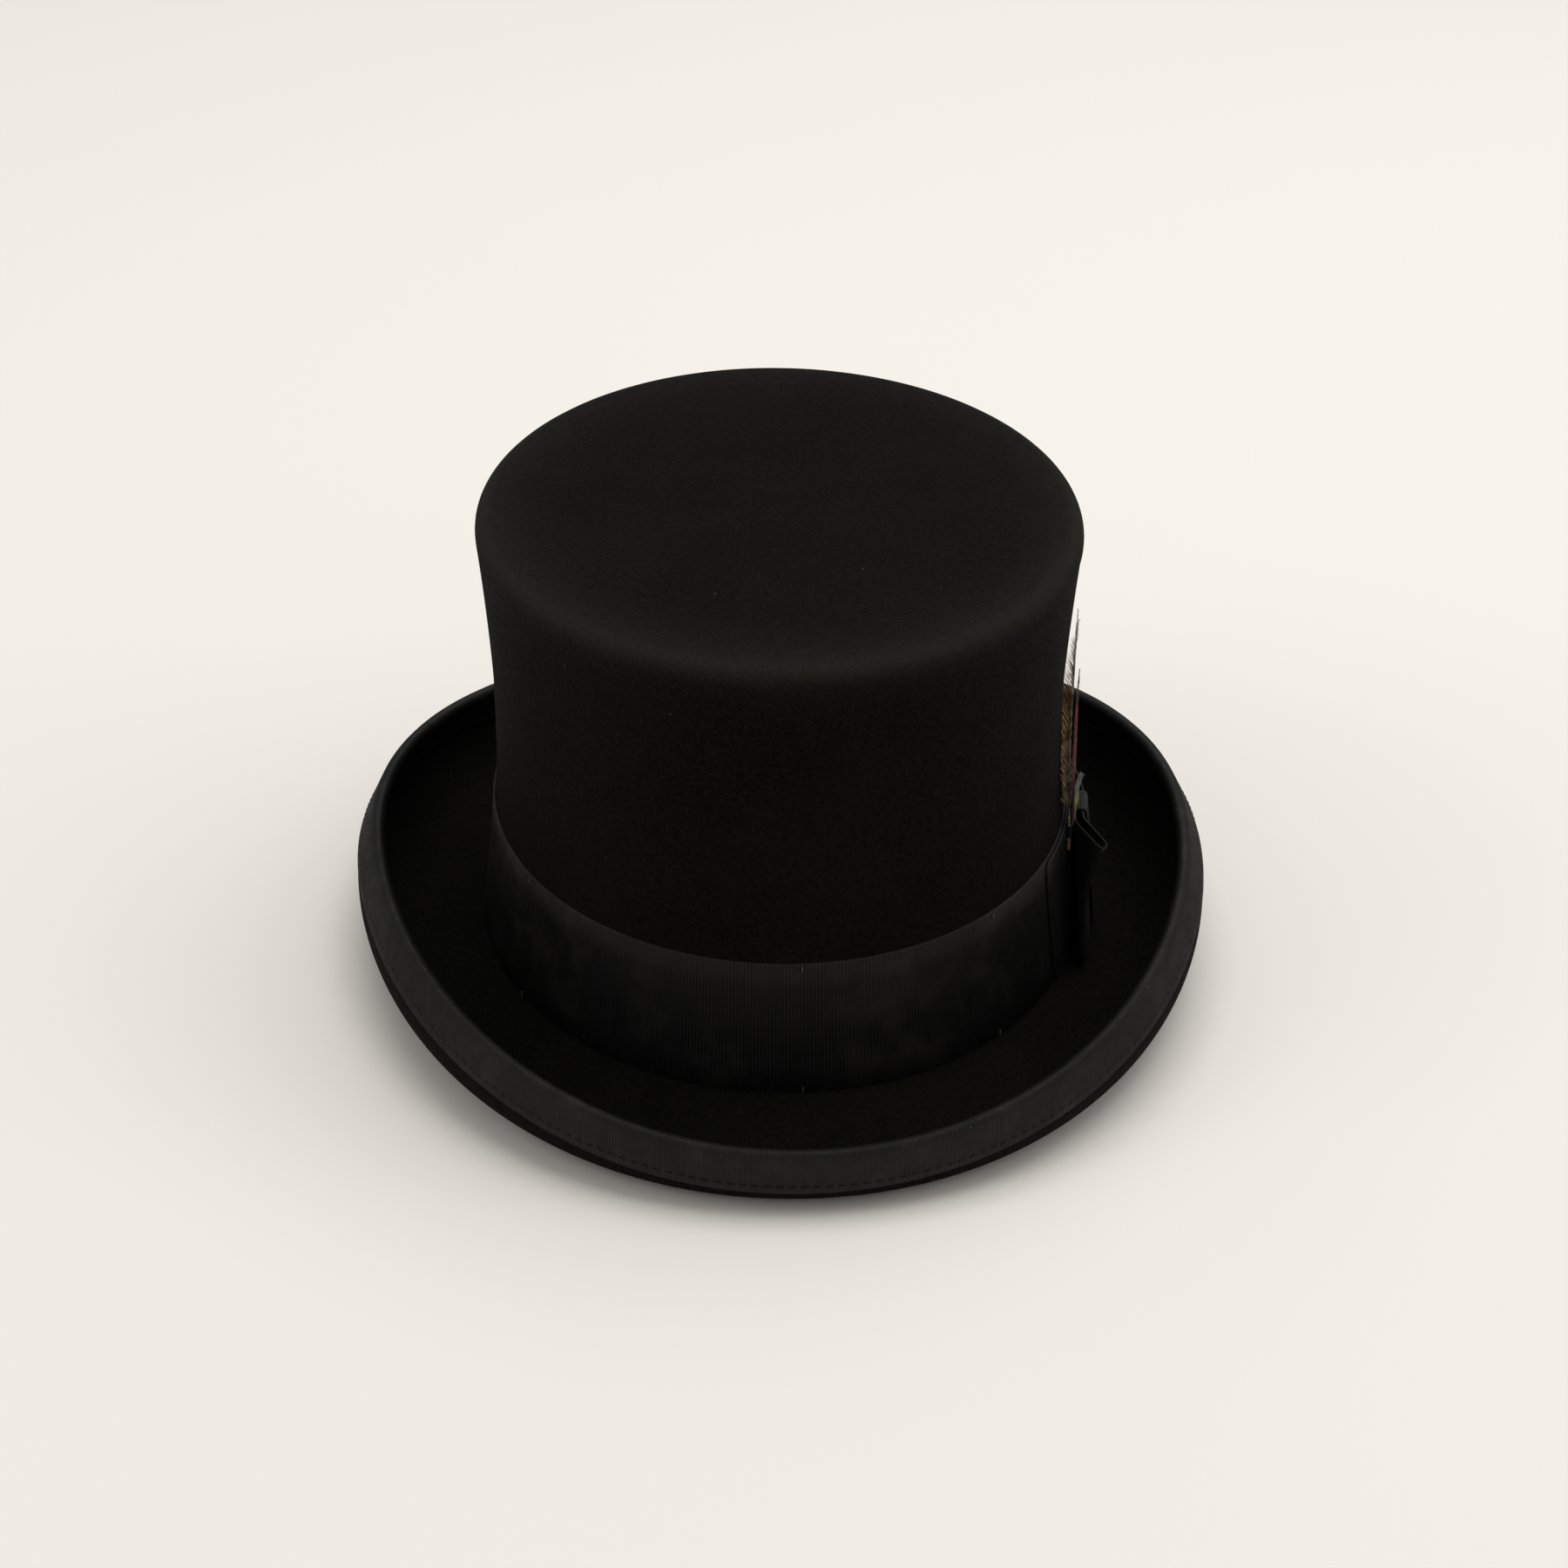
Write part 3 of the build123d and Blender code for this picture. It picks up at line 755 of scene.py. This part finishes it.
tape_outside = sweatband_inside - cloth_gap
tape_half = 5.0 / (crown_half_width(30.0) + length_extra)
tape_angles = np.linspace(np.pi / 2 - tape_half * 1.02, np.pi / 2 + tape_half * 1.02, 49)
seam_tape = inside_cloth("seam_tape_ribbon", 8.6, 54.0, tape_outside, tape_angles, 0.3, False,
                         rib=0.12)

bow_centre, bow_facing = oval(np.array([np.pi / 2]), np.array([19.0]), np.array([tape_outside - 1.3]))
small_out = -bow_facing[0]


def small_bow_point(u, v, w):
    u, v, w = (np.asarray(x, float)[..., None] for x in (u, v, w))
    across = np.array([1.0, 0.0, 0.0])
    return bow_centre[0] + small_out * u + across * v + up * (w - 2.4)


small_half = [(0.1, 0.0), (0.15, 2.0), (0.2, 6.0), (0.9, 9.8), (1.7, 6.0), (1.2, 2.0), (0.9, 0.0)]
small_knots = small_half + [(u, -v) for u, v in small_half[-2:0:-1]]
small_bow = ribbon_loop("sweatband_small_bow", small_knots, 44, small_bow_point, 4.8, 0.3, 0.08, 0.05)
knot_knots = [(0.0, 0.0), (0.1, 1.2), (1.2, 1.5), (1.75, 0.0), (1.2, -1.5), (0.1, -1.2)]
small_knot = ribbon_loop("sweatband_bow_knot", knot_knots, 16, lambda u, v, w: small_bow_point(
    u, v, w - 0.15), 5.1, 0.3, 0.06, 0.04)

tag_span = 7.0 / crown_half_width(40.0)
tag_centre = np.pi - 0.31
tag_angles = np.linspace(tag_centre - tag_span, tag_centre + tag_span, 25)
size_tag = inside_cloth("blank_size_tag", 37.5, 46.5, tape_outside, tag_angles, 0.35, False)

# Satin lining


def gathers(angle, share):
    """Soft pleats that deepen towards the tip, clear of the sweatband."""
    depth = np.clip((share - 0.3) / 0.5, 0, 1)
    pleat = 0.5 + 0.5 * np.cos(angle * 96 + 1.2 * np.sin(angle * 5))
    return depth * (1.3 * pleat + 0.4 * np.sin(angle * 7) ** 2)


satin_angles = np.linspace(0, 2 * np.pi, 1152, endpoint=False)
lining_side = inside_cloth("satin_lining_side", 34.0, 129.0, lining_outside, satin_angles, 0.35,
                           True, gathers, rows=20)
tip_half = crown_half_width(129.0) - felt - 1.0
shares = np.linspace(0, 1, 22)
base, normals = [], []
for share in shares:
    pleat = 0.35 * np.cos(satin_angles * 96) * share ** 6
    sag = -1.8 * (1 - share ** 2)
    base.append(np.stack([tip_half * share * np.cos(satin_angles),
                          (tip_half + length_extra) * share * np.sin(satin_angles),
                          tip_z - felt - 1.6 + sag + pleat], -1))
    normals.append(np.tile(-up, (len(satin_angles), 1)))
lining_tip = cloth("satin_lining_tip", np.stack(base, 1), np.stack(normals, 1), shares * tip_half,
                   0.5, 0.35, disc=True)

# Materials


class Look:
    """A Principled material whose colour, roughness and bump come from noise in the mesh's own space."""

    def __init__(self, name, roughness, specular=0.5, **settings):
        self.material = bpy.data.materials.new(name)
        self.material.use_nodes = True
        self.tree = self.material.node_tree
        self.shader = self.tree.nodes["Principled BSDF"]
        self.shader.inputs["Roughness"].default_value = roughness
        self.shader.inputs["Specular IOR Level"].default_value = specular
        for key, value in settings.items():
            self.shader.inputs[key.replace("_", " ")].default_value = value
        self.place = self.add("ShaderNodeTexCoord").outputs["Object"]
        self.normal = None

    def add(self, kind, **values):
        node = self.tree.nodes.new(kind)
        for key, value in values.items():
            setattr(node, key, value)
        return node

    def link(self, source, target):
        self.tree.links.new(source, target)

    def noise(self, scale, detail=3.0, roughness=0.55, stretch=None):
        node = self.add("ShaderNodeTexNoise")
        node.inputs["Scale"].default_value = scale
        node.inputs["Detail"].default_value = detail
        node.inputs["Roughness"].default_value = roughness
        source = self.place
        if stretch:
            mapping = self.add("ShaderNodeMapping")
            mapping.inputs["Scale"].default_value = stretch
            self.link(self.place, mapping.inputs["Vector"])
            source = mapping.outputs["Vector"]
        self.link(source, node.inputs["Vector"])
        return node.outputs["Fac"]

    def ramp(self, value, low, high, start=0.0, stop=1.0):
        """Maps value between low and high to start and stop, clamped."""
        node = self.add("ShaderNodeMapRange")
        for key, number in (("From Min", low), ("From Max", high), ("To Min", start), ("To Max", stop)):
            node.inputs[key].default_value = number
        self.link(value, node.inputs["Value"])
        return node.outputs["Result"]

    def mix(self, factor, first, second):
        """Mixes two colours, each a node's output or a plain RGB."""
        node = self.add("ShaderNodeMix", data_type="RGBA")
        self.link(factor, node.inputs["Factor"])
        for key, colour in ((6, first), (7, second)):
            if isinstance(colour, tuple):
                node.inputs[key].default_value = (*colour, 1)
            else:
                self.link(colour, node.inputs[key])
        return node.outputs[2]

    def times(self, first, second, operation="MULTIPLY"):
        node = self.add("ShaderNodeMath", operation=operation)
        for socket, value in zip(node.inputs, (first, second)):
            if isinstance(value, float):
                socket.default_value = value
            else:
                self.link(value, socket)
        return node.outputs[0]

    def attribute(self, name):
        return self.add("ShaderNodeAttribute", attribute_name=name).outputs["Fac"]

    def specks(self, scale, share, size):
        """1 on small specks, one in some cells of a scattered grid."""
        node = self.add("ShaderNodeTexVoronoi")
        node.inputs["Scale"].default_value = scale
        self.link(self.place, node.inputs["Vector"])
        near = self.ramp(node.outputs["Distance"], size * 0.6, size, 1.0, 0.0)
        split = self.add("ShaderNodeSeparateColor")
        self.link(node.outputs["Color"], split.inputs["Color"])
        chosen = self.ramp(split.outputs["Red"], 1 - share, 1 - share + 0.01)
        return self.times(near, chosen)

    def bump(self, height, strength, distance):
        node = self.add("ShaderNodeBump")
        node.inputs["Strength"].default_value = strength
        node.inputs["Distance"].default_value = distance
        self.link(height, node.inputs["Height"])
        if self.normal is not None:
            self.link(self.normal, node.inputs["Normal"])
        self.normal = node.outputs["Normal"]
        self.link(self.normal, self.shader.inputs["Normal"])

    def colour(self, value):
        self.link(value, self.shader.inputs["Base Color"])

    def rough(self, value):
        self.link(value, self.shader.inputs["Roughness"])


def felt_look():
    look = Look("fur_felt", 0.9, 0.03, Sheen_Weight=0.004, Sheen_Roughness=0.35,
                Sheen_Tint=(0.95, 0.95, 0.84, 1))
    nap = look.noise(2300, 4.0, 0.75)
    clumps = look.noise(800, 3.0, 0.6)
    mottling = look.noise(22, 4.0, 0.6)
    fur = look.mix(look.ramp(nap, 0.38, 0.64), (0.0006, 0.0006, 0.0006), (0.0105, 0.0101, 0.009))
    tufts = look.mix(look.ramp(clumps, 0.42, 0.66, 0.0, 0.5), fur, (0.0007, 0.0007, 0.0007))
    base = look.mix(look.ramp(mottling, 0.38, 0.62, 0.0, 0.16), tufts, (0.0125, 0.012, 0.0105))
    # The tip's edge is painted lighter: partly rubbed felt, partly a painted highlight on the rim.
    rim_wear_and_highlight = look.times(look.attribute("crest"), look.ramp(nap, 0.3, 0.7, 0.25, 0.9))
    base = look.mix(rim_wear_and_highlight, base, (0.026, 0.0255, 0.0215))
    base = look.mix(look.specks(420, 0.09, 0.03), base, (0.05, 0.049, 0.045))
    look.colour(look.mix(look.specks(150, 0.05, 0.05), base, (0.075, 0.073, 0.068)))
    look.rough(look.ramp(clumps, 0.3, 0.7, 0.8, 0.98))
    look.bump(clumps, 0.4, 0.0006)
    look.bump(nap, 0.8, 0.0004)
    return look.material


def grosgrain_look(name, dark, light, specular=0.2):
    look = Look(name, 0.5, specular, Sheen_Weight=0.01, Sheen_Roughness=0.4)
    threads = look.noise(3600, 2.0, 0.6)
    fade = look.noise(55, 4.0, 0.6)
    crest = look.attribute("crest")
    # Rib crests are painted lighter and grooves darker, broken up by thread noise: painted highlight and
    # painted shade on the ribs.
    lit = look.times(look.ramp(threads, 0.34, 0.66, 0.3, 1.0), look.ramp(crest, 0.2, 1.0, 0.0, 1.0))
    base = look.mix(lit, dark, light)
    faded = tuple(1.7 * c for c in light)
    base = look.mix(look.times(look.ramp(fade, 0.52, 0.72), 0.45), base, faded)
    look.colour(look.mix(look.specks(170, 0.05, 0.045), base, (0.09, 0.088, 0.082)))
    look.rough(look.ramp(look.noise(240, 3.0), 0.3, 0.7, 0.42, 0.62))
    look.bump(threads, 0.45, 0.00012)
    return look.material


def plain_look(name, dark, light, roughness, specular, scale, bump, distance, stretch=None, **more):
    look = Look(name, roughness, specular, **more)
    grain = look.noise(scale, 4.0, 0.6, stretch)
    broad = look.noise(scale / 14, 3.0, 0.5)
    base = look.mix(look.ramp(grain, 0.32, 0.7), dark, light)
    look.colour(look.mix(look.times(look.ramp(broad, 0.45, 0.7), 0.5), base, tuple(
        0.6 * d + 0.4 * l for d, l in zip(dark, light))))
    look.rough(look.ramp(broad, 0.3, 0.7, max(roughness - 0.1, 0.05), min(roughness + 0.1, 1.0)))
    look.bump(grain, bump, distance)
    return look.material


def leather_look(name, dark, light):
    look = Look(name, 0.5, 0.4)
    cells = look.add("ShaderNodeTexVoronoi", feature="DISTANCE_TO_EDGE")
    cells.inputs["Scale"].default_value = 1300
    look.link(look.place, cells.inputs["Vector"])
    creases = look.ramp(cells.outputs["Distance"], 0.0, 0.16)
    stain = look.noise(45, 4.0, 0.6)
    base = look.mix(look.ramp(stain, 0.35, 0.68), dark, light)
    look.colour(look.mix(look.ramp(creases, 0.0, 1.0, 0.35, 0.0), base, tuple(0.3 * c for c in dark)))
    look.rough(look.ramp(stain, 0.35, 0.68, 0.42, 0.62))
    look.bump(creases, 0.4, 0.0002)
    return look.material


def satin_look():
    look = Look("satin", 0.34, 0.5, Anisotropic=0.55, Sheen_Weight=0.1)
    weave = look.noise(2600, 2.0, 0.5, (1.0, 1.0, 0.12))
    stain = look.noise(30, 4.0, 0.6)
    base = look.mix(look.ramp(weave, 0.3, 0.7), (0.62, 0.57, 0.47), (0.8, 0.76, 0.66))
    look.colour(look.mix(look.times(look.ramp(stain, 0.5, 0.75), 0.5), base, (0.5, 0.41, 0.27)))
    look.rough(look.ramp(stain, 0.3, 0.7, 0.3, 0.42))
    look.bump(weave, 0.2, 0.0001)
    return look.material


def feather_look(name, base, tip, specks=None):
    look = Look(name, 0.6, 0.3, Sheen_Weight=0.15, Sheen_Roughness=0.4)
    streak = look.noise(900, 3.0, 0.6)
    bars = look.noise(210, 2.0, 0.5, (1.0, 1.0, 2.2))
    colour = look.mix(look.ramp(streak, 0.35, 0.65), base, tip)
    if specks:
        colour = look.mix(look.ramp(bars, 0.5, 0.6), colour, specks)
    look.colour(colour)
    look.bump(streak, 0.3, 0.0001)
    return look.material


fur_felt = felt_look()
grosgrain = grosgrain_look("grosgrain", (0.0006, 0.0006, 0.0006), (0.015, 0.0138, 0.0132))
thread = plain_look("thread", (0.001, 0.001, 0.001), (0.006, 0.006, 0.006), 0.6, 0.2, 4000, 0.4, 0.0001)
tack_thread = plain_look("tack_thread", (0.02, 0.02, 0.02), (0.12, 0.12, 0.11), 0.5, 0.3, 4000, 0.4,
                         0.0001)
small_ribbon = grosgrain_look("small_ribbon", (0.004, 0.004, 0.004), (0.016, 0.015, 0.014))
seam_tape_look = grosgrain_look("seam_tape", (0.006, 0.006, 0.006), (0.022, 0.021, 0.02))
sweat_leather = leather_look("sweat_leather", (0.13, 0.06, 0.028), (0.3, 0.16, 0.08))
tag_leather = leather_look("tag_leather", (0.3, 0.24, 0.16), (0.52, 0.44, 0.33))
reed_plastic = plain_look("reed_plastic", (0.2, 0.17, 0.11), (0.42, 0.37, 0.27), 0.4, 0.5, 800, 0.2,
                          0.0001)
satin = satin_look()
grey_look = feather_look("grey_feather", (0.05, 0.047, 0.045), (0.34, 0.33, 0.32), (0.018, 0.016, 0.015))
tan_look = feather_look("tan_feather", (0.33, 0.19, 0.07), (0.78, 0.55, 0.28), (0.24, 0.11, 0.04))
red_look = feather_look("red_feather", (0.09, 0.008, 0.006), (0.4, 0.045, 0.025), (0.05, 0.012, 0.008))
blue_look = feather_look("blue_grey_feather", (0.06, 0.065, 0.08), (0.3, 0.32, 0.36))
hackle_look = feather_look("yellow_hackle", (0.16, 0.14, 0.02), (0.5, 0.45, 0.1))

# Each piece: its body, the CAD nodes that it stands for, its slot and its finish

finishes = [
    (hood, "hat", ["felt_body"], "fur_felt", fur_felt),
    (binding, "hat", ["brim_binding"], "grosgrain", grosgrain),
    (stitches, "hat", ["binding_thread"], "thread", thread),
    (hat_band, "hat", ["hat_band"], "grosgrain", grosgrain),
    (bow_backing, "hat", ["bow_backing"], "grosgrain", grosgrain),
    (bow_loops, "hat", ["bow_loops"], "grosgrain", grosgrain),
    (bow_keeper, "hat", ["bow_keeper"], "grosgrain", grosgrain),
    (grey_feather, "feather_mount", ["feather_down"], "grey_feather", grey_look),
    (tan_feather, "feather_mount", ["feather_tan"], "tan_feather", tan_look),
    (red_feather, "feather_mount", ["feather_red"], "red_feather", red_look),
    (blue_feather, "feather_mount", ["feather_grey"], "blue_grey_feather", blue_look),
    (hackle, "feather_mount", ["hackle_tuft"], "yellow_hackle", hackle_look),
    (whipping, "feather_mount", ["quill_whipping"], "thread", thread),
    (sweatband, "hat", ["sweatband"], "sweat_leather", sweat_leather),
    (reed_stitches, "hat", [], "thread", thread),
    (seam_tape, "hat", ["sweatband_seam"], "seam_tape", seam_tape_look),
    (small_bow, "hat", ["sweatband_bow"], "small_ribbon", small_ribbon),
    (small_knot, "hat", [], "small_ribbon", small_ribbon),
    (size_tag, "hat", ["size_tag"], "tag_leather", tag_leather),
    (lining_side, "hat", ["lining_side"], "satin", satin),
    (lining_tip, "hat", ["lining_tip"], "satin", satin),
]
for piece, body, replaced, slot, finish in finishes:
    piece.data.materials.append(finish)
    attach(piece, body)
    if replaced:
        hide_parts(*replaced)

for node, finish in (("tack_stitches", tack_thread), ("sweatband_reed", reed_plastic)):
    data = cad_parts[node].data
    data.materials.clear()
    data.materials.append(finish)

# Floor, light and camera

floor_size = 6.0
mesh = bpy.data.meshes.new("floor")
mesh.from_pydata([(-floor_size, -floor_size, 0), (floor_size, -floor_size, 0),
                  (floor_size, floor_size, 0), (-floor_size, floor_size, 0)], [], [(0, 1, 2, 3)])
floor = bpy.data.objects.new("floor", mesh)
bpy.context.scene.collection.objects.link(floor)
floor_look = Look("floor_paper", 0.95, 0.1)
floor_look.colour(floor_look.mix(floor_look.noise(3.0), (0.86, 0.83, 0.785), (0.87, 0.84, 0.795)))
mesh.materials.append(floor_look.material)


def soft_box(name, position, target, width, height, power, colour):
    light = bpy.data.lights.new(name, "AREA")
    light.shape = "RECTANGLE"
    light.size = width
    light.size_y = height
    light.energy = power
    light.color = colour
    lamp = bpy.data.objects.new(name, light)
    bpy.context.scene.collection.objects.link(lamp)
    lamp.location = position
    lamp.rotation_euler = (Vector(target) - Vector(position)).to_track_quat("-Z", "Y").to_euler()


white = (1.0, 0.99, 0.975)
soft_box("overhead", (0.4, 0.45, 2.2), (0, 0, 0), 2.2, 2.2, 33, white)
soft_box("left", (-1.9, -0.5, 1.3), (0, 0, 0.05), 1.3, 1.5, 6, white)
soft_box("right", (1.9, -0.3, 1.3), (0, 0, 0.05), 1.3, 1.5, 6, white)

scene = bpy.context.scene
world = scene.world or bpy.data.worlds.new("studio")
scene.world = world
world.use_nodes = True
world.node_tree.nodes["Background"].inputs["Color"].default_value = (1.0, 0.985, 0.96, 1)
world.node_tree.nodes["Background"].inputs["Strength"].default_value = 0.48
scene.view_settings.view_transform = "Standard"

lens = bpy.data.cameras.new("camera")
lens.lens = 79.06
lens.sensor_width = 36
lens.clip_start = 0.01
camera = bpy.data.objects.new("camera", lens)
scene.collection.objects.link(camera)
camera.location = (-0.0531, -0.8739, 0.528)
look_at = Vector((0.00145, 0, 0.0449))
camera.rotation_euler = (look_at - camera.location).to_track_quat("-Z", "Y").to_euler()
scene.camera = camera
